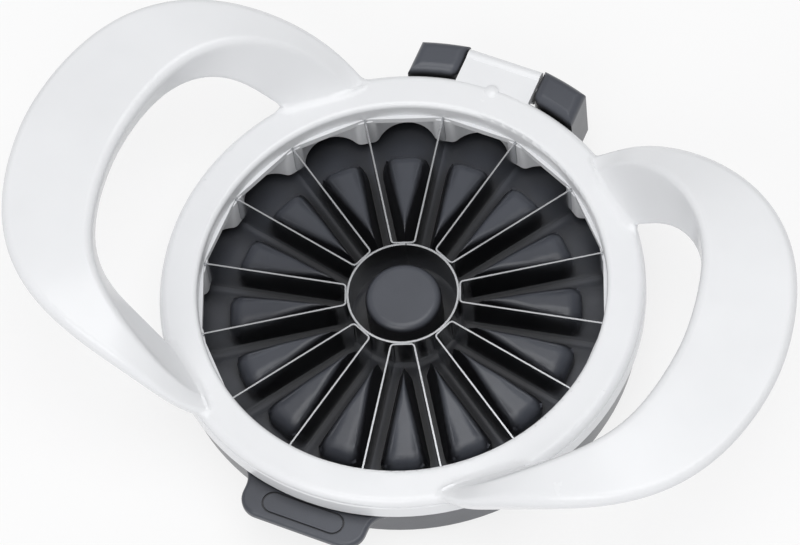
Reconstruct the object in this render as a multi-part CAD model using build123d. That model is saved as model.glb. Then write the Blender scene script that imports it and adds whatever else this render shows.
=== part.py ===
from build123d import *
import os
from math import cos, hypot, radians, sin, tan

# Apple slicer: a white ring with two raised loop handles carries sixteen steel blades and a
# core ring. A grey base is hinged to it at the back and pushes the slices through.
# Millimetres. The Z axis is the ring's axis, the base stands on Z = 0, the handles lie along X,
# the hinge is at +Y and the opening tab at -Y.

# Ring
mouth_radius = 50.0
rim_width = 9.2
rim_height = 4.9
rim_inner_round = 1.3
rim_outer_round = 2.0
flange_thickness = 1.9
lip_height = 2.6
lip_thickness = 1.6
lip_proud = 0.2
lip_round = 0.5
lower_wall_depth = 9.2
lower_wall_outset = 5.4
scallop_radius = 7.6
scallop_wall = 1.1
boss_inset = 0.5
boss_round = 2.0
ledge_thickness = 1.0
seam_gap = 0.2
fit_gap = 0.05

# Blades and core ring
strip_count = 8
blade_thickness = 0.4
blade_bevel = 1.8
blade_edge = 0.12
blade_end_depth = 3.0
blade_end_lift = 1.0
blade_boss_gap = 0.3
blade_bend = 0.9
core_radius = 13.8
core_thickness = 0.5
core_seam_width = 0.25
core_seam_angle = 109.5
weld_gap = 0.02

# Handles
finger_gap = 13.3
grip_width = 27.9
grip_rise = 23.6
grip_thickness = 8.5
root_inner_angle = 31.0
root_outer_angle = 59.5
root_inner_depth = 3.0
root_outer_depth = 1.6
root_thickness = 4.6
heel_undercut = 5.6
root_undercut = 1.8
toe_tuck = 2.2
root_tuck = 1.2
ridge_round = 2.4
shoulder_round = 3.2
toe_round = 1.6
heel_round = 2.2

# Shares along a handle from the middle of the grip to the root: reach from root to grip,
# sideways place, ridge place across the arm, and the rise of the ridge, shoulder, toe and heel
arm_reach_shares = (1.0, 0.925, 0.715, 0.435, 0.205, 0.0)
arm_side_shares = (0.0, 0.51, 0.875, 1.03, 1.055, 1.0)
ridge_place_shares = (0.03, 0.04, 0.13, 0.36, 0.63, 0.79)
ridge_rise_shares = (1.0, 1.0, 0.99, 0.92, 0.62, 0.02)
shoulder_rise_shares = (0.99, 0.99, 0.97, 0.81, 0.47, 0.0)
toe_rise_shares = (0.99, 0.96, 0.85, 0.66, 0.37, 0.12)
heel_rise_shares = (1.07, 1.05, 0.97, 0.75, 0.39, 0.03)

# Base
base_height = 16.4
base_wall = 2.2
base_taper = 1.2
base_foot_inset = 3.6
base_foot_height = 5.0
base_foot_width = 3.0
base_foot_round = 2.6
base_rim_round = 0.6
base_corner_round = 1.4
swing_gap = 1.0
seat_gap = 0.3
floor_gap = 2.0
floor_thickness = 2.0

# Pushers between the blades and the core button
pusher_inner_radius = 17.0
pusher_end_gap = 6.6
pusher_side_gap = 1.6
pusher_inner_height = 9.6
pusher_outer_height = 6.0
pusher_draft = 14.0
pusher_corner_round = 3.6
pusher_nose_round = 6.5
pusher_top_round = 1.6
pusher_wall = 1.6
button_radius = 9.4
button_height = 11.6
button_round = 2.0
button_wall = 2.0

# Opening tab at the front of the base
tab_width = 32.0
tab_reach = 8.1
tab_thickness = 2.8
tab_drop = 0.4
tab_corner_round = 5.0
tab_hollow_round = 5.5
tab_edge_round = 1.0
badge_length = 21.2
badge_width = 5.9
badge_line = 0.5
badge_depth = 0.4

# Hinge
hinge_setback = 4.4
hinge_drop = 4.0
barrel_radius = 3.5
hinge_tab_width = 19.4
hinge_tab_thickness = 2.6
hinge_tab_drop = 0.4
hinge_side_gap = 0.3
end_bar_radius = 1.9
end_bar_setback = 2.1
dome_radius = 1.8
dome_height = 0.6
dome_inset = 1.6
lug_width = 12.0
lug_front_gap = 0.8
lug_depth = 8.9
lug_rise = 0.3
lug_foot_height = 5.0
lug_corner_round = 2.6
lug_top_round = 2.4
pin_radius = 1.25
pin_run_gap = 0.05
pin_hold_gap = 0.02
pin_blind_depth = 8.0
pin_end_inset = 0.4

overrun = 5.0
side_room_share = 0.46
top_facing_share = 0.5

# Levels and radii that follow
leg_count = strip_count * 2
half_pitch = 360 / leg_count / 2
skirt_z = base_height + seat_gap
flange_z = skirt_z + flange_thickness
lip_z = flange_z + lip_height
rim_z = flange_z + rim_height
ring_foot_z = skirt_z - lower_wall_depth
floor_z = ring_foot_z - floor_gap
blade_top_z = flange_z - fit_gap
ring_radius = mouth_radius + rim_width
skirt_radius = ring_radius + lip_proud
lip_inner_radius = skirt_radius - lip_thickness
lower_wall_radius = mouth_radius + lower_wall_outset
boss_radius = mouth_radius - boss_inset
blade_end_radius = mouth_radius + blade_end_depth
web_middle_x = core_radius + weld_gap + blade_thickness / 2
base_inner_radius = lower_wall_radius + swing_gap
base_radius = base_inner_radius + base_wall
hinge_y = skirt_radius + hinge_setback
hinge_z = rim_z - hinge_drop
lug_inner_x = hinge_tab_width / 2 + hinge_side_gap
lug_outer_x = lug_inner_x + lug_width


def disc_solid(radius, low, high):
    return extrude(Plane.XY.offset(low) * Circle(radius), amount=high - low)


def ring_solid(inner, outer, low, high):
    return disc_solid(outer, low, high) - disc_solid(inner, low, high)


def x_rod(radius, low_x, high_x, y, z):
    return extrude(Plane.YZ.offset(low_x) * Pos(y, z) * Circle(radius), amount=high_x - low_x)


def polar(radius, angle):
    return Vector(radius * cos(radians(angle)), radius * sin(radians(angle)), 0)


# Round edges about the ring's axis near a radius and a level
def edges_at(shape, radius, level, reach):
    return shape.edges().filter_by(GeomType.CIRCLE).filter_by(
        lambda e: abs(e.radius - radius) < reach
        and abs(e.center().Z - level) < reach
        and hypot(e.arc_center.X, e.arc_center.Y) < reach
    )


# Closed outline whose corner rounds are limited by the sides that they lie on
def rounded_face(corners, rounds):
    points = [Vector(*corner) for corner in corners]
    radii = []
    for index, radius in enumerate(rounds):
        back = points[index - 1] - points[index]
        ahead = points[(index + 1) % len(points)] - points[index]
        room = side_room_share * min(back.length, ahead.length)
        radii.append(min(radius, room * tan(radians(back.get_angle(ahead) / 2))))
    return make_face(FilletPolyline(*points, radius=radii, close=True))


# Handle: rounded four-cornered sections from one root over the grip to the other root
def handle_section(reach, side, ridge, rises, sign):
    root_inner = polar(ring_radius - root_inner_depth, root_inner_angle)
    root_outer = polar(ring_radius - root_outer_depth, root_outer_angle)
    grip_inner_x = ring_radius + finger_gap
    grip_outer_x = grip_inner_x + grip_width
    inner = Vector(
        root_inner.X + reach * (grip_inner_x - root_inner.X), sign * side * root_inner.Y, 0
    )
    outer = Vector(
        root_outer.X + reach * (grip_outer_x - root_outer.X), sign * side * root_outer.Y, 0
    )
    across = outer - inner
    width = across.length
    ridge_rise, shoulder_rise, toe_rise, heel_rise = rises
    thickness = root_thickness + reach * (grip_thickness - root_thickness)
    undercut = root_undercut + reach * (heel_undercut - root_undercut)
    tuck = root_tuck + reach * (toe_tuck - root_tuck)
    plane = Plane(origin=inner, x_dir=across, z_dir=across.cross(Vector(0, 0, 1)))
    corners = [
        (tuck, rim_z + toe_rise * grip_rise - thickness),
        (ridge * width, rim_z + ridge_rise * grip_rise),
        (width, rim_z + shoulder_rise * grip_rise),
        (width - undercut, rim_z + heel_rise * grip_rise - thickness),
    ]
    rounds = (toe_round, ridge_round, shoulder_round, heel_round)
    return plane * rounded_face(corners, rounds)


def handle():
    stations = list(
        zip(
            arm_reach_shares,
            arm_side_shares,
            ridge_place_shares,
            zip(ridge_rise_shares, shoulder_rise_shares, toe_rise_shares, heel_rise_shares),
        )
    )
    back = [handle_section(*station, sign=1) for station in reversed(stations)]
    front = [handle_section(*station, sign=-1) for station in stations[1:]]
    return loft(back + front)


# Upper frame: rim, both handles and the hinge barrel in one moulding
def upper_frame():
    rim = ring_solid(mouth_radius, ring_radius, lip_z + seam_gap, rim_z)
    rim = fillet(edges_at(rim, mouth_radius, rim_z, fit_gap), rim_inner_round)
    rim = fillet(edges_at(rim, ring_radius, rim_z, fit_gap), rim_outer_round)
    loop = handle()
    blade_ring_space = disc_solid(skirt_radius + seam_gap, 0, lip_z + seam_gap)
    mouth_space = disc_solid(mouth_radius, 0, rim_z + grip_rise)
    loops = loop + Rot(0, 0, 180) * loop
    tongue = ring_solid(mouth_radius, lip_inner_radius - fit_gap, flange_z, lip_z + seam_gap)
    plate_start = mouth_radius + rim_width / 2
    plate_end = hinge_y + end_bar_setback
    plate_z = rim_z - hinge_tab_drop - hinge_tab_thickness / 2
    plate = Pos(0, (plate_start + plate_end) / 2, plate_z) * Box(
        hinge_tab_width, plate_end - plate_start, hinge_tab_thickness
    )
    barrel = x_rod(barrel_radius, -hinge_tab_width / 2, hinge_tab_width / 2, hinge_y, hinge_z)
    end_bar = x_rod(
        end_bar_radius, -hinge_tab_width / 2, hinge_tab_width / 2, plate_end, rim_z - end_bar_radius
    )
    pin_hole = x_rod(pin_radius + pin_run_gap, -lug_inner_x, lug_inner_x, hinge_y, hinge_z)
    dome_ball = (dome_radius**2 + dome_height**2) / (2 * dome_height)
    dome_y = ring_radius - dome_inset
    dome = Pos(0, dome_y, rim_z + dome_height - dome_ball) * Sphere(dome_ball)
    dome &= Pos(0, dome_y, rim_z) * Cylinder(dome_radius, dome_height * 2)
    body = rim + (loops - blade_ring_space - mouth_space) + tongue
    return body + (plate - blade_ring_space) + barrel + end_bar + dome - pin_hole


# Blade ring: scalloped lower wall with a slot for each blade end, under the rim
def blade_ring():
    flange = disc_solid(skirt_radius, skirt_z, flange_z)
    ledge = Plane.XY.offset(skirt_z) * (
        Rot(0, 0, half_pitch) * RegularPolygon(mouth_radius, leg_count)
    )
    flange -= extrude(ledge, amount=flange_thickness)
    lip = ring_solid(lip_inner_radius, skirt_radius, flange_z, lip_z)
    lip = fillet(edges_at(lip, skirt_radius, lip_z, fit_gap), lip_round)
    wall_top = flange_z - ledge_thickness
    scallop_place = lower_wall_radius - scallop_wall - scallop_radius
    hollow = Circle(boss_radius)
    for leg in range(leg_count):
        hollow += Pos(polar(scallop_place, leg * half_pitch * 2)) * Circle(scallop_radius)
    boss_width = min(edge.length for edge in hollow.edges().filter_by(lambda e: e.radius > scallop_radius))
    hollow = fillet(hollow.vertices(), min(boss_round, side_room_share * boss_width))
    wall = extrude(
        Pos(0, 0, ring_foot_z) * (Circle(lower_wall_radius) - hollow), amount=wall_top - ring_foot_z
    )
    ring = flange + lip + wall
    slot_low = ring_foot_z + blade_end_lift
    slot_length = blade_end_radius + fit_gap - boss_radius + overrun
    slot = Pos(
        blade_end_radius + fit_gap - slot_length / 2, 0, (slot_low + flange_z + overrun) / 2
    ) * Box(slot_length, blade_thickness + 2 * fit_gap, flange_z + overrun - slot_low)
    for leg in range(leg_count):
        ring -= Rot(0, 0, (leg * 2 + 1) * half_pitch) * slot
    return ring


# Blade strip: two radial legs, each bevelled to its cutting edge, and the short web between
# them that is welded to the core ring
def blade_leg():
    web_low = ring_foot_z + blade_bevel
    leg_start = web_middle_x / cos(radians(half_pitch)) + blade_bend
    leg_end = boss_radius - blade_boss_gap
    bevel = Polyline(
        (-blade_thickness / 2, web_low),
        (-blade_edge / 2, ring_foot_z),
        (blade_edge / 2, ring_foot_z),
        (blade_thickness / 2, web_low),
        close=True,
    )
    leg = extrude(Plane.YZ.offset(leg_start) * make_face(bevel), amount=leg_end - leg_start)
    end_low = ring_foot_z + blade_end_lift + fit_gap
    return leg + Pos((leg_end + blade_end_radius) / 2, 0, (end_low + blade_top_z) / 2) * Box(
        blade_end_radius - leg_end, blade_thickness, blade_top_z - end_low
    )


def blade_strip():
    web_low = ring_foot_z + blade_bevel
    web_half = web_middle_x * tan(radians(half_pitch))
    leg_end = boss_radius - blade_boss_gap
    middle_line = FilletPolyline(
        polar(leg_end, -half_pitch),
        (web_middle_x, -web_half),
        (web_middle_x, web_half),
        polar(leg_end, half_pitch),
        radius=blade_bend,
    )
    strip = extrude(Pos(0, 0, web_low) * trace(middle_line, blade_thickness), amount=blade_top_z - web_low)
    leg = blade_leg()
    return strip + Rot(0, 0, half_pitch) * leg + Rot(0, 0, -half_pitch) * leg


# Core ring: a steel strip rolled round, with an open butt seam
def core_ring():
    ring = ring_solid(core_radius - core_thickness, core_radius, ring_foot_z, blade_top_z)
    ring = chamfer(
        edges_at(ring, core_radius, ring_foot_z, fit_gap),
        blade_bevel,
        core_thickness - blade_edge,
    )
    seam = Pos(core_radius, 0, blade_top_z / 2) * Box(
        core_thickness * 2 + overrun, core_seam_width, blade_top_z + overrun
    )
    return ring - Rot(0, 0, core_seam_angle) * seam


# Pusher: a wedge with leaning sides and a sloping top; the same form, set in, hollows it
def pusher(inset, low):
    outer_radius = mouth_radius - pusher_end_gap - inset
    side = (blade_thickness / 2 + pusher_side_gap + inset) / cos(radians(half_pitch))
    apex_radius = side / tan(radians(half_pitch))
    inner_radius = pusher_inner_radius + inset * 2
    outer_half = (outer_radius - apex_radius) * tan(radians(half_pitch))
    inner_half = (inner_radius - apex_radius) * tan(radians(half_pitch))
    inner_top = floor_z + pusher_inner_height - inset
    outer_top = floor_z + pusher_outer_height - inset
    corners = [
        (inner_radius, -inner_half),
        (outer_radius, -outer_half),
        (outer_radius, outer_half),
        (inner_radius, inner_half),
    ]
    plan = rounded_face(corners, (0, pusher_corner_round, pusher_corner_round, 0))
    side_view = [
        (inner_radius, low),
        (outer_radius, low),
        (outer_radius, outer_top),
        (inner_radius, inner_top),
    ]
    outline = rounded_face(side_view, (0, 0, pusher_nose_round, 0))
    wedge = extrude(Pos(0, 0, low) * plan, amount=inner_top - low)
    wedge &= extrude(Plane.XZ * outline, amount=outer_half, both=True)
    reach = outer_radius * 2
    for sign, align in ((1, Align.MIN), (-1, Align.MAX)):
        outside = Box(reach, outer_radius, reach, align=(Align.CENTER, align, Align.CENTER))
        lean = Rot(0, 0, sign * half_pitch) * Rot(sign * pusher_draft, 0, 0)
        wedge -= Pos(apex_radius, 0, floor_z) * lean * outside
    return wedge


def soft_pusher(low):
    wedge = pusher(0, low)
    top = wedge.faces().filter_by(lambda f: f.normal_at(f.center()).Z > top_facing_share)
    return fillet(top.edges().filter_by(Axis.Y, reverse=True), pusher_top_round)


# Base: bowl, pushers, core button, hinge lugs and opening tab in one moulding
def bowl():
    outline = Polyline(
        (0, floor_z),
        (base_inner_radius, floor_z),
        (base_inner_radius, base_height),
        (base_radius, base_height),
        (base_radius - base_taper, base_foot_height),
        (base_radius - base_foot_inset, 0),
        (base_radius - base_foot_inset - base_foot_width, 0),
        (base_radius - base_foot_inset - base_foot_width, floor_z - floor_thickness),
        (0, floor_z - floor_thickness),
        close=True,
    )
    face = make_face(Plane.XZ * outline)
    rounds = (
        (base_inner_radius, floor_z, base_corner_round),
        (base_radius, base_height, base_rim_round),
        (base_inner_radius, base_height, base_rim_round),
        (base_radius - base_taper, base_foot_height, base_foot_round),
    )
    for radius, level, size in rounds:
        corner = face.vertices().sort_by_distance(Vector(radius, 0, level))[0]
        face = fillet(corner, size)
    return revolve(face, Axis.Z)


def button(inset, low):
    top = floor_z + button_height - inset
    stud = Pos(0, 0, low) * Cylinder(
        button_radius - inset, top - low, align=(Align.CENTER, Align.CENTER, Align.MIN)
    )
    return fillet(edges_at(stud, button_radius - inset, top, fit_gap), button_round - inset / 2)


def opening_tab():
    top_z = base_height - tab_drop
    low_z = top_z - tab_thickness
    fall_share = (base_height - low_z) / (base_height - base_foot_height)
    wall_radius = base_radius - base_taper * fall_share
    reach = base_radius + tab_reach
    plan = Circle(wall_radius) + Pos(0, -reach / 2) * Rectangle(tab_width, reach)
    corners = plan.vertices().filter_by(lambda v: v.Y < -wall_radius)
    plan = fillet(corners, tab_corner_round)
    hollows = plan.vertices().filter_by(
        lambda v: abs(abs(v.X) - tab_width / 2) < fit_gap and v.Y > -wall_radius
    )
    side_room = reach - (wall_radius**2 - (tab_width / 2) ** 2) ** 0.5 - tab_corner_round
    plan = fillet(hollows, min(tab_hollow_round, side_room))
    tab = extrude(Pos(0, 0, low_z) * plan, amount=tab_thickness)
    tab = fillet(tab.edges().group_by(Axis.Z)[-1], tab_edge_round)
    tab = fillet(tab.edges().group_by(Axis.Z)[0], tab_edge_round)
    tab -= disc_solid(base_inner_radius + base_wall / 2, 0, base_height)
    badge_y = -(base_radius + tab_reach / 2 - tab_edge_round / 2)
    line = SlotOverall(badge_length, badge_width) - SlotOverall(
        badge_length - 2 * badge_line, badge_width - 2 * badge_line
    )
    return tab - extrude(Pos(0, badge_y, top_z - badge_depth) * line, amount=overrun)


def hinge_lugs():
    front_radius = skirt_radius + lug_front_gap
    back_radius = front_radius + lug_depth
    top_z = rim_z + lug_rise
    strip = Pos((lug_inner_x + lug_outer_x) / 2, back_radius / 2) * Rectangle(lug_width, back_radius)
    plan = (Circle(back_radius) - Circle(front_radius)) & strip
    inner_front = plan.vertices().sort_by(Axis.X)[:2].sort_by(Axis.Y)[0]
    plan = fillet(inner_front, lug_corner_round)
    lug = extrude(Pos(0, 0, lug_foot_height) * plan, amount=top_z - lug_foot_height)
    lug = fillet(lug.edges().group_by(Axis.Z)[-1], lug_top_round)
    tie_start = base_inner_radius + base_wall / 2
    tie = extrude(
        Pos(0, 0, lug_foot_height)
        * ((Circle(front_radius + lug_corner_round) - Circle(tie_start)) & strip),
        amount=base_height - lug_foot_height,
    )
    lug += tie
    hole = x_rod(
        pin_radius + pin_hold_gap,
        -lug_outer_x - overrun,
        lug_inner_x + pin_blind_depth,
        hinge_y,
        hinge_z,
    )
    return lug + mirror(lug, about=Plane.YZ) - hole


def base():
    floor_low = floor_z - floor_thickness
    body = bowl() + opening_tab() + hinge_lugs() + button(0, floor_low)
    solid_pusher = soft_pusher(floor_low)
    hollow_pusher = pusher(pusher_wall, floor_low - overrun)
    for leg in range(leg_count):
        body += Rot(0, 0, leg * half_pitch * 2) * solid_pusher
    for leg in range(leg_count):
        body -= Rot(0, 0, leg * half_pitch * 2) * hollow_pusher
    return body - button(button_wall, floor_low - overrun)


# Hinge pin: held in both lugs, running in the barrel
def hinge_pin():
    low_x = -(lug_outer_x - pin_end_inset)
    high_x = lug_inner_x + pin_blind_depth - pin_end_inset
    return x_rod(pin_radius, low_x, high_x, hinge_y, hinge_z)


os.makedirs("parts", exist_ok=True)
pieces = {
    "upper_frame": upper_frame(),
    "blade_ring": blade_ring(),
    "core_ring": core_ring(),
    "base": base(),
    "hinge_pin": hinge_pin(),
}
strip = blade_strip()
for number in range(strip_count):
    pieces[f"blade_strip_{number + 1}"] = Rot(0, 0, (number * 4 + 2) * half_pitch) * strip
for name, piece in pieces.items():
    export_step(piece, f"parts/{name}.step")
    print(name, len(piece.solids()), round(piece.volume))
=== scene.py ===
import math

import bmesh
import bpy
from mathutils import Matrix, Vector
from mathutils.bvhtree import BVHTree
from mathutils.kdtree import KDTree


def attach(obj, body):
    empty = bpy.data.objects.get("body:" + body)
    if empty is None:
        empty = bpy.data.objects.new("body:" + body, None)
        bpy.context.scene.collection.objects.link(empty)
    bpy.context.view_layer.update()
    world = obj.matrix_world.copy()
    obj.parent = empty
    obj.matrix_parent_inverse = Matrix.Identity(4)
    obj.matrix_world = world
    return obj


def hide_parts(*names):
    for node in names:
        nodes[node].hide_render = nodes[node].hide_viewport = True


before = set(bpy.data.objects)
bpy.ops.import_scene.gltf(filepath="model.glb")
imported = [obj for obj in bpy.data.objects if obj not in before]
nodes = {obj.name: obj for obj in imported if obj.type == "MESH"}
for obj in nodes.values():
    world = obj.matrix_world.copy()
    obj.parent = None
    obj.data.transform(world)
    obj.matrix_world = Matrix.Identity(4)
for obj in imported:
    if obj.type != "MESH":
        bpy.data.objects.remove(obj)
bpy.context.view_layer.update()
scene = bpy.context.scene
white = (1, 1, 1, 1)
print("stage: frame loaded")


# Shader helpers
def newMaterial(name):
    material = bpy.data.materials.new(name)
    material.use_nodes = True
    material.node_tree.nodes.clear()
    return material, material.node_tree


def newGroup(name, inputs, outputs):
    tree = bpy.data.node_groups.new(name, "ShaderNodeTree")
    for way, sockets in (("INPUT", inputs), ("OUTPUT", outputs)):
        for socketName, kind in sockets.items():
            tree.interface.new_socket(socketName, in_out=way, socket_type=kind)
    start = tree.nodes.new("NodeGroupInput")
    end = tree.nodes.new("NodeGroupOutput")
    return tree, start.outputs, end.inputs


def addNode(tree, kind, inputs=None, **settings):
    made = tree.nodes.new(kind)
    for key, value in settings.items():
        setattr(made, key, value)
    for key, value in (inputs or {}).items():
        made.inputs[key].default_value = value
    return made


def join(tree, source, target):
    tree.links.new(source, target)


def roughRamp(tree, value, start):
    made = addNode(tree, "ShaderNodeMapRange", clamp=True)
    join(tree, start["Smoothest"], made.inputs["To Min"])
    join(tree, start["Roughest"], made.inputs["To Max"])
    join(tree, value, made.inputs["Value"])
    return made.outputs["Result"]


def toneMix(tree, factor, start):
    made = addNode(tree, "ShaderNodeMix", data_type="RGBA")
    join(tree, factor, made.inputs["Factor"])
    join(tree, start["Dark"], made.inputs["A"])
    join(tree, start["Light"], made.inputs["B"])
    return made.outputs["Result"]


def bumpFrom(tree, height, strength, depth):
    made = addNode(tree, "ShaderNodeBump")
    join(tree, strength, made.inputs["Strength"])
    join(tree, depth, made.inputs["Distance"])
    join(tree, height, made.inputs["Height"])
    return made.outputs["Normal"]


colourSocket, floatSocket, vectorSocket = "NodeSocketColor", "NodeSocketFloat", "NodeSocketVector"
finishInputs = {
    "Dark": colourSocket, "Light": colourSocket,
    "Smoothest": floatSocket, "Roughest": floatSocket,
}
finishOutputs = {"Tone": colourSocket, "Roughness": floatSocket, "Normal": vectorSocket}

# Moulded plastic: cloudy tone, uneven gloss, fine mould grain
mouldNoise = {
    "cloud": {"Detail": 4, "Roughness": 0.55},
    "smudge": {"Detail": 6, "Roughness": 0.65},
    "grain": {"Detail": 3, "Roughness": 0.6},
    "cloudRange": {"From Min": 0.35, "From Max": 0.65},
}


def mouldGroup():
    names = ("Cloud Scale", "Smudge Scale", "Grain Scale", "Grain Strength", "Grain Depth")
    inputs = dict(finishInputs, **{name: floatSocket for name in names})
    tree, start, end = newGroup("mouldFinish", inputs, finishOutputs)
    place = addNode(tree, "ShaderNodeTexCoord")
    cloud, smudge, grain = (
        addNode(tree, "ShaderNodeTexNoise", mouldNoise[key]) for key in ("cloud", "smudge", "grain")
    )
    for texture, scale in ((cloud, "Cloud Scale"), (smudge, "Smudge Scale"), (grain, "Grain Scale")):
        join(tree, place.outputs["Object"], texture.inputs["Vector"])
        join(tree, start[scale], texture.inputs["Scale"])
    tone = addNode(tree, "ShaderNodeMapRange", mouldNoise["cloudRange"])
    join(tree, cloud.outputs["Fac"], tone.inputs["Value"])
    join(tree, toneMix(tree, tone.outputs["Result"], start), end["Tone"])
    join(tree, roughRamp(tree, smudge.outputs["Fac"], start), end["Roughness"])
    normal = bumpFrom(tree, grain.outputs["Fac"], start["Grain Strength"], start["Grain Depth"])
    join(tree, normal, end["Normal"])
    return tree


# Ground strip steel: fine lines along the blade, or around the core ring
groundNoise = {
    "lines": {"Scale": 1.0, "Detail": 5, "Roughness": 0.7},
    "patches": {"Detail": 3},
}


def groundGroup():
    names = ("Along Scale", "Turn Scale", "Across Scale", "Patch Scale", "Line Strength", "Line Depth")
    inputs = dict(finishInputs, **{name: floatSocket for name in names})
    tree, start, end = newGroup("groundFinish", inputs, finishOutputs)
    place = addNode(tree, "ShaderNodeTexCoord")
    parts = addNode(tree, "ShaderNodeSeparateXYZ")
    join(tree, place.outputs["Object"], parts.inputs["Vector"])
    flat = addNode(tree, "ShaderNodeCombineXYZ")
    join(tree, parts.outputs["X"], flat.inputs["X"])
    join(tree, parts.outputs["Y"], flat.inputs["Y"])
    reach = addNode(tree, "ShaderNodeVectorMath", operation="LENGTH")
    join(tree, flat.outputs["Vector"], reach.inputs[0])
    turn = addNode(tree, "ShaderNodeMath", operation="ARCTAN2")
    join(tree, parts.outputs["Y"], turn.inputs[0])
    join(tree, parts.outputs["X"], turn.inputs[1])
    lineSpace = addNode(tree, "ShaderNodeCombineXYZ")
    for source, scale, target in (
        (reach.outputs["Value"], "Along Scale", "X"),
        (turn.outputs["Value"], "Turn Scale", "Y"),
        (parts.outputs["Z"], "Across Scale", "Z"),
    ):
        stretch = addNode(tree, "ShaderNodeMath", operation="MULTIPLY")
        join(tree, source, stretch.inputs[0])
        join(tree, start[scale], stretch.inputs[1])
        join(tree, stretch.outputs["Value"], lineSpace.inputs[target])
    lines = addNode(tree, "ShaderNodeTexNoise", groundNoise["lines"])
    join(tree, lineSpace.outputs["Vector"], lines.inputs["Vector"])
    patches = addNode(tree, "ShaderNodeTexNoise", groundNoise["patches"])
    join(tree, place.outputs["Object"], patches.inputs["Vector"])
    join(tree, start["Patch Scale"], patches.inputs["Scale"])
    join(tree, toneMix(tree, lines.outputs["Fac"], start), end["Tone"])
    join(tree, roughRamp(tree, patches.outputs["Fac"], start), end["Roughness"])
    normal = bumpFrom(tree, lines.outputs["Fac"], start["Line Strength"], start["Line Depth"])
    join(tree, normal, end["Normal"])
    return tree


# Painted shade: narrow hollows of a moulding are darkened in colour wherever ambient occlusion finds
# them enclosed
def paintShadeInHollows(tree, tone, paintedShade):
    hollow = addNode(
        tree, "ShaderNodeAmbientOcclusion", {"Distance": paintedShade["reach"]}, samples=paintedShade["samples"]
    )
    openness = addNode(
        tree, "ShaderNodeMapRange", {"From Min": paintedShade["shut"], "From Max": paintedShade["open"]}
    )
    join(tree, hollow.outputs["AO"], openness.inputs["Value"])
    mixed = addNode(tree, "ShaderNodeMix", data_type="RGBA")
    mixed.inputs["A"].default_value = paintedShade["colour"]
    join(tree, openness.outputs["Result"], mixed.inputs["Factor"])
    join(tree, tone, mixed.inputs["B"])
    return mixed.outputs["Result"]


def finishMaterial(name, group, look):
    material, tree = newMaterial(name)
    finish = addNode(tree, "ShaderNodeGroup", node_tree=group)
    for key, value in look["finish"].items():
        finish.inputs[key].default_value = value
    tone = finish.outputs["Tone"]
    # Painted shade: the tone is darkened in hollows when the look asks for it
    if "paintedShade" in look:
        tone = paintShadeInHollows(tree, tone, look["paintedShade"])
    shader = addNode(tree, "ShaderNodeBsdfPrincipled", look["fixed"])
    join(tree, tone, shader.inputs["Base Color"])
    join(tree, finish.outputs["Roughness"], shader.inputs["Roughness"])
    join(tree, finish.outputs["Normal"], shader.inputs["Normal"])
    output = addNode(tree, "ShaderNodeOutputMaterial")
    join(tree, shader.outputs["BSDF"], output.inputs["Surface"])
    return material


whiteLook = {
    "finish": {
        "Dark": (0.80, 0.81, 0.83, 1), "Light": (0.84, 0.85, 0.87, 1),
        "Smoothest": 0.20, "Roughest": 0.30,
        "Cloud Scale": 22.0, "Smudge Scale": 60.0,
        "Grain Scale": 1800.0, "Grain Strength": 0.05, "Grain Depth": 0.00004,
    },
    "fixed": {"IOR": 1.5, "Specular IOR Level": 0.5},
}
greyLook = {
    "finish": {
        "Dark": (0.058, 0.062, 0.075, 1), "Light": (0.076, 0.082, 0.099, 1),
        "Smoothest": 0.26, "Roughest": 0.38,
        "Cloud Scale": 30.0, "Smudge Scale": 70.0,
        "Grain Scale": 2600.0, "Grain Strength": 0.30, "Grain Depth": 0.00006,
    },
    # Painted shade: the base's hollows are darkened towards this colour
    "paintedShade": {
        "reach": 0.009, "samples": 8, "shut": 0.28, "open": 0.80,
        "colour": (0.011, 0.011, 0.013, 1),
    },
    "fixed": {"IOR": 1.5, "Specular IOR Level": 0.45},
}
bladeFinish = {
    "Dark": (0.42, 0.43, 0.45, 1), "Light": (0.66, 0.67, 0.69, 1),
    "Smoothest": 0.16, "Roughest": 0.28, "Patch Scale": 90.0,
    "Along Scale": 60.0, "Turn Scale": 0.0, "Across Scale": 5200.0,
    "Line Strength": 0.10, "Line Depth": 0.00003,
}
coreFinish = dict(bladeFinish, **{"Along Scale": 0.0, "Turn Scale": 2.0})
pinFinish = dict(
    bladeFinish,
    **{"Along Scale": 900.0, "Across Scale": 900.0, "Smoothest": 0.25, "Roughest": 0.35},
)
steelFixed = {"Metallic": 1.0}

mould = mouldGroup()
ground = groundGroup()
whitePlastic = finishMaterial("whitePlastic", mould, whiteLook)
greyPlastic = finishMaterial("greyPlastic", mould, greyLook)
bladeSteel, coreSteel, pinSteel = (
    finishMaterial(name, ground, {"finish": finish, "fixed": steelFixed})
    for name, finish in (("bladeSteel", bladeFinish), ("coreSteel", coreFinish), ("pinSteel", pinFinish))
)
print("stage: materials")


def dress(nodeName, material):
    for slot in nodes[nodeName].material_slots:
        slot.material = material


stripCount = 8
dress("blade_ring", whitePlastic)
dress("core_ring", coreSteel)
dress("hinge_pin", pinSteel)
for number in range(stripCount):
    dress(f"blade_strip_{number + 1}", bladeSteel)
print("stage: pieces dressed")

# Upper frame: the moulding with its handle roots blended into the rim by a rolling ball
rootLook = {
    "ball": 0.0020, "reach": 0.0045, "pushes": 20, "touch": 0.998, "moves": 1.001, "tiny": 1e-7,
    "edge": 0.00045, "longEdge": 1.5, "edgeShare": 0.25, "splits": 9, "faceLimit": 110000,
    "creaseAngle": math.radians(-10), "minX": 0.020, "minZ": 0.0216, "maxRadius": 0.0605,
    "sharpAngle": math.radians(32), "smoothTurns": 6, "smoothShare": 0.5,
}
weldGap = 1e-6
halfway = 0.5


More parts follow.
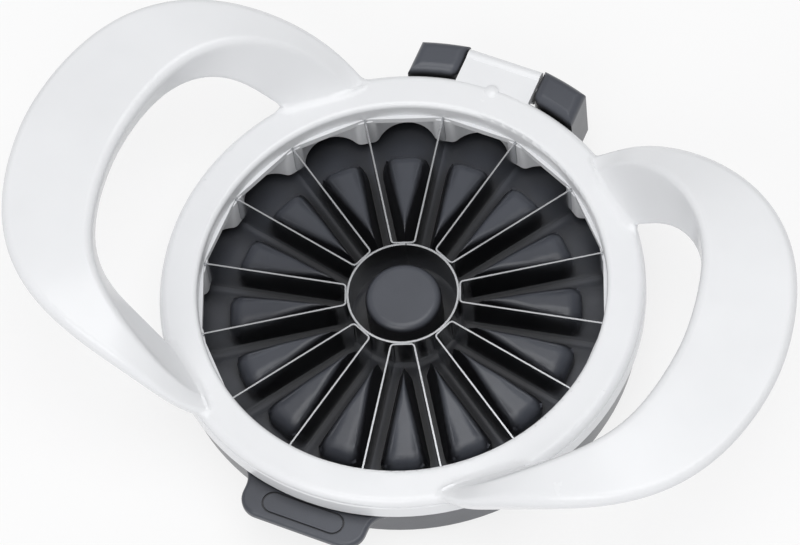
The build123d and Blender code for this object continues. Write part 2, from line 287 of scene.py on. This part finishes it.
# A welded, triangulated copy of a solid's mesh to shape further
def solidMesh(nodeName):
    owner = nodes[nodeName]
    work = bmesh.new()
    work.from_mesh(owner.data)
    work.transform(owner.matrix_world)
    bmesh.ops.remove_doubles(work, verts=work.verts, dist=weldGap)
    bmesh.ops.triangulate(work, faces=work.faces)
    bmesh.ops.recalc_face_normals(work, faces=work.faces)
    return work


# Each edge is cut in two, longest first, and its middle joined to the corners facing it,
# so the mesh stays closed and all triangles
def halveEdges(work, edges):
    for edge in sorted(edges, key=bmesh.types.BMEdge.calc_length, reverse=True):
        faces = list(edge.link_faces)
        rest, middle = bmesh.utils.edge_split(edge, edge.verts[0], halfway)
        for face in faces:
            start = next(loop for loop in face.loops if loop.vert == middle)
            bmesh.utils.face_split(face, middle, start.link_loop_next.link_loop_next.vert)


# Points along the inner creases where the handles meet the rim
def creaseTree(work, look):
    points = []
    for edge in work.edges:
        if len(edge.link_faces) != 2 or edge.calc_face_angle_signed() > look["creaseAngle"]:
            continue
        first, last = (vert.co for vert in edge.verts)
        middle = (first + last) / 2
        if abs(middle.x) < look["minX"] or middle.z < look["minZ"]:
            continue
        if middle.xy.length > look["maxRadius"]:
            continue
        steps = max(1, math.ceil((last - first).length / look["edge"]))
        points += [first.lerp(last, step / steps) for step in range(steps + 1)]
    tree = KDTree(len(points))
    for index, point in enumerate(points):
        tree.insert(point, index)
    tree.balance()
    return tree


def splitNear(work, tree, look):
    for turn in range(look["splits"]):
        long = []
        for edge in work.edges:
            if edge.calc_length() < look["edge"] * look["longEdge"]:
                continue
            first, last = (vert.co for vert in edge.verts)
            reach = look["reach"] + edge.calc_length() * look["edgeShare"]
            if tree.find((first + last) / 2)[2] < reach:
                long.append(edge)
        if not long or len(work.faces) > look["faceLimit"]:
            break
        halveEdges(work, long)


# Moves the points, evens them out, and keeps hard edges only away from them
def settle(work, moved, look, softIf):
    for vert, place in moved.items():
        vert.co = place
    for turn in range(look["smoothTurns"]):
        bmesh.ops.smooth_vert(
            work, verts=list(moved), factor=look["smoothShare"],
            use_axis_x=True, use_axis_y=True, use_axis_z=True,
        )
    for edge in work.edges:
        soft = softIf(vert in moved for vert in edge.verts)
        edge.smooth = soft or edge.calc_face_angle(math.pi) < look["sharpAngle"]


# A ball rolls along the outside of each crease, and the skin is drawn out to it
def rollBall(work, tree, look):
    surface = BVHTree.FromBMesh(work)
    ball = look["ball"]
    work.normal_update()
    moved = {}
    for vert in work.verts:
        if tree.find(vert.co)[2] > look["reach"]:
            continue
        centre = vert.co + vert.normal * ball
        for push in range(look["pushes"]):
            nearest, normal, face, distance = surface.find_nearest(centre)
            if distance > ball * look["touch"]:
                break
            away = centre - nearest
            if away.length < look["tiny"] or away.dot(normal) < 0:
                away = normal
            centre = centre + away.normalized() * (ball - distance)
        gap = vert.co - centre
        if gap.length > ball * look["moves"]:
            moved[vert] = centre + gap * (ball / gap.length)
    settle(work, moved, look, any)


def finishShell(name, work, material):
    for face in work.faces:
        face.smooth = True
    mesh = bpy.data.meshes.new(name)
    work.to_mesh(mesh)
    work.free()
    mesh.materials.append(material)
    made = bpy.data.objects.new(name, mesh)
    scene.collection.objects.link(made)
    weigh = made.modifiers.new("weigh", "WEIGHTED_NORMAL")
    weigh.keep_sharp = True
    weighed = made.evaluated_get(bpy.context.evaluated_depsgraph_get())
    finished = bpy.data.meshes.new_from_object(weighed)
    made.modifiers.remove(weigh)
    made.data = finished
    return made


shellWork = solidMesh("upper_frame")
creases = creaseTree(shellWork, rootLook)
splitNear(shellWork, creases, rootLook)
rollBall(shellWork, creases, rootLook)
upperShell = finishShell("upperShell", shellWork, whitePlastic)
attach(upperShell, "frame")
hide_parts("upper_frame")
print("stage: upper shell", len(upperShell.data.polygons))

# Base: the moulding with its pusher tops rounded more towards their outer ends
topLook = {
    "ballRange": (0.0002, 0.0030), "tipRadius": 0.0215, "growth": 0.17,
    "pushes": 16, "touch": 0.998, "moves": 1.001,
    "edge": 0.0007, "longEdge": 1.5, "splits": 6, "faceLimit": 150000,
    "minRadius": 0.0195, "maxRadius": 0.0445, "minZ": 0.0078, "upward": 0.05,
    "sharpAngle": math.radians(32), "smoothTurns": 2, "smoothShare": 0.4,
}


def onPusherTop(vert, look):
    inRange = look["minRadius"] < vert.co.xy.length < look["maxRadius"]
    return inRange and vert.co.z > look["minZ"] and vert.normal.z >= look["upward"]


def splitPushers(work, look):
    for turn in range(look["splits"]):
        long = [
            edge for edge in work.edges
            if edge.calc_length() > look["edge"] * look["longEdge"]
            and any(onPusherTop(vert, look) for vert in edge.verts)
        ]
        if not long or len(work.faces) > look["faceLimit"]:
            break
        halveEdges(work, long)
        work.normal_update()


# The upper skin of the pushers alone, without the hollows under them
def upperSkin(work, look):
    places = [vert.co.copy() for vert in work.verts]
    work.verts.index_update()
    faces = [
        [vert.index for vert in face.verts] for face in work.faces
        if face.normal.z > look["upward"]
        and face.calc_center_median().xy.length < look["maxRadius"]
    ]
    return BVHTree.FromPolygons(places, faces)


# A ball rolls under the skin, larger towards the outer end, and the skin is drawn in to it
def roundTops(work, look):
    surface = upperSkin(work, look)
    low, high = look["ballRange"]
    moved = {}
    for vert in work.verts:
        if not onPusherTop(vert, look):
            continue
        ball = min(high, max(low, (vert.co.xy.length - look["tipRadius"]) * look["growth"]))
        centre = vert.co - vert.normal * ball
        for push in range(look["pushes"]):
            nearest, normal, face, distance = surface.find_nearest(centre)
            outside = (centre - nearest).dot(normal) > 0
            if distance > ball * look["touch"] and not outside:
                break
            centre = centre - normal * (ball + distance if outside else ball - distance)
        gap = vert.co - centre
        if gap.length > ball * look["moves"]:
            moved[vert] = centre + gap * (ball / gap.length)
    settle(work, moved, look, all)


baseWork = solidMesh("base")
splitPushers(baseWork, topLook)
roundTops(baseWork, topLook)
baseShell = finishShell("baseShell", baseWork, greyPlastic)
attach(baseShell, "base")
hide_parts("base")
print("stage: base shell", len(baseShell.data.polygons))

# Floor: the camera sees mostly white, with the object's shadow left faintly on it
floorLook = {"half": 6.0, "colour": (0.86, 0.86, 0.87, 1), "white": 1.0, "whiteShare": 0.8}
half = floorLook["half"]
floorCorners = [(-half, -half, 0), (half, -half, 0), (half, half, 0), (-half, half, 0)]
floorMesh = bpy.data.meshes.new("floor")
floorMesh.from_pydata(floorCorners, [], [(0, 1, 2, 3)])
floor = bpy.data.objects.new("floor", floorMesh)
scene.collection.objects.link(floor)
floorMaterial, floorTree = newMaterial("floorPaper")
paper = addNode(floorTree, "ShaderNodeBsdfDiffuse", {"Color": floorLook["colour"]})
glow = addNode(floorTree, "ShaderNodeEmission", {"Color": white, "Strength": floorLook["white"]})
path = addNode(floorTree, "ShaderNodeLightPath")
faint = addNode(floorTree, "ShaderNodeMath", operation="MULTIPLY")
faint.inputs[1].default_value = floorLook["whiteShare"]
direct = addNode(floorTree, "ShaderNodeMath", operation="MAXIMUM")
choose = addNode(floorTree, "ShaderNodeMixShader")
floorOut = addNode(floorTree, "ShaderNodeOutputMaterial")
for source, target in (
    (path.outputs["Is Camera Ray"], faint.inputs[0]),
    (faint.outputs["Value"], direct.inputs[0]),
    (path.outputs["Is Glossy Ray"], direct.inputs[1]),
    (direct.outputs["Value"], choose.inputs["Fac"]),
    (paper.outputs["BSDF"], choose.inputs[1]),
    (glow.outputs["Emission"], choose.inputs[2]),
    (choose.outputs["Shader"], floorOut.inputs["Surface"]),
):
    join(floorTree, source, target)
floorMesh.materials.append(floorMaterial)

# World: a soft fill, white where the camera sees it
skyLook = {"seen": 1.0, "fill": 0.44}
world = bpy.data.worlds.new("studio")
scene.world = world
world.use_nodes = True
skyTree = world.node_tree
skyTree.nodes.clear()
skyPath = addNode(skyTree, "ShaderNodeLightPath")
sky = addNode(skyTree, "ShaderNodeBackground", {"Color": white, "Strength": skyLook["fill"]})
seen = addNode(skyTree, "ShaderNodeBackground", {"Color": white, "Strength": skyLook["seen"]})
skyMix = addNode(skyTree, "ShaderNodeMixShader")
skyOut = addNode(skyTree, "ShaderNodeOutputWorld")
for source, target in (
    (skyPath.outputs["Is Camera Ray"], skyMix.inputs["Fac"]),
    (sky.outputs["Background"], skyMix.inputs[1]),
    (seen.outputs["Background"], skyMix.inputs[2]),
    (skyMix.outputs["Shader"], skyOut.inputs["Surface"]),
):
    join(skyTree, source, target)

# Lights: two soft boxes, one above and one in front
lightLook = {
    "topKey": {"place": (0.10, 0.00, 0.95), "size": (0.80, 0.70), "power": 4.2},
    "frontKey": {"place": (0.00, -0.85, 0.75), "size": (0.80, 0.60), "power": 3.7},
}
lightTarget = Vector((0, 0, 0.02))


def softBox(name, look):
    lamp = bpy.data.lights.new(name, "AREA")
    lamp.shape = "RECTANGLE"
    lamp.size, lamp.size_y = look["size"]
    lamp.energy = look["power"]
    holder = bpy.data.objects.new(name, lamp)
    scene.collection.objects.link(holder)
    aim = Vector(look["place"]) - lightTarget
    holder.rotation_euler = aim.to_track_quat("Z", "Y").to_euler()
    holder.location = look["place"]


for lightName, light in lightLook.items():
    softBox(lightName, light)
print("stage: floor and lights")

# Camera at the photo's angle
shot = {
    "azimuth": 30.24, "elevation": 61.709, "roll": -8.377, "distance": 1.19892,
    "target": (-0.002855, 0.005019, 0.0185),
    "focalPixels": 4901.051, "frameWidth": 800, "sensor": 36.0, "clip": (0.05, 60.0),
}
azimuth, elevation, roll = (math.radians(shot[key]) for key in ("azimuth", "elevation", "roll"))
back = Vector((
    math.sin(azimuth) * math.cos(elevation),
    -math.cos(azimuth) * math.cos(elevation),
    math.sin(elevation),
))
side = Vector((math.cos(azimuth), math.sin(azimuth), 0))
over = back.cross(side)
right = side * math.cos(roll) + over * math.sin(roll)
upward = over * math.cos(roll) - side * math.sin(roll)
lens = bpy.data.cameras.new("photoCamera")
lens.sensor_width = shot["sensor"]
lens.sensor_fit = "HORIZONTAL"
lens.lens = shot["focalPixels"] / shot["frameWidth"] * shot["sensor"]
lens.clip_start, lens.clip_end = shot["clip"]
camera = bpy.data.objects.new("photoCamera", lens)
scene.collection.objects.link(camera)
stand = Matrix.Translation(Vector(shot["target"]) + back * shot["distance"])
camera.matrix_world = stand @ Matrix((right, upward, back)).transposed().to_4x4()
scene.camera = camera
scene.view_settings.view_transform = "Standard"
print("stage: camera")
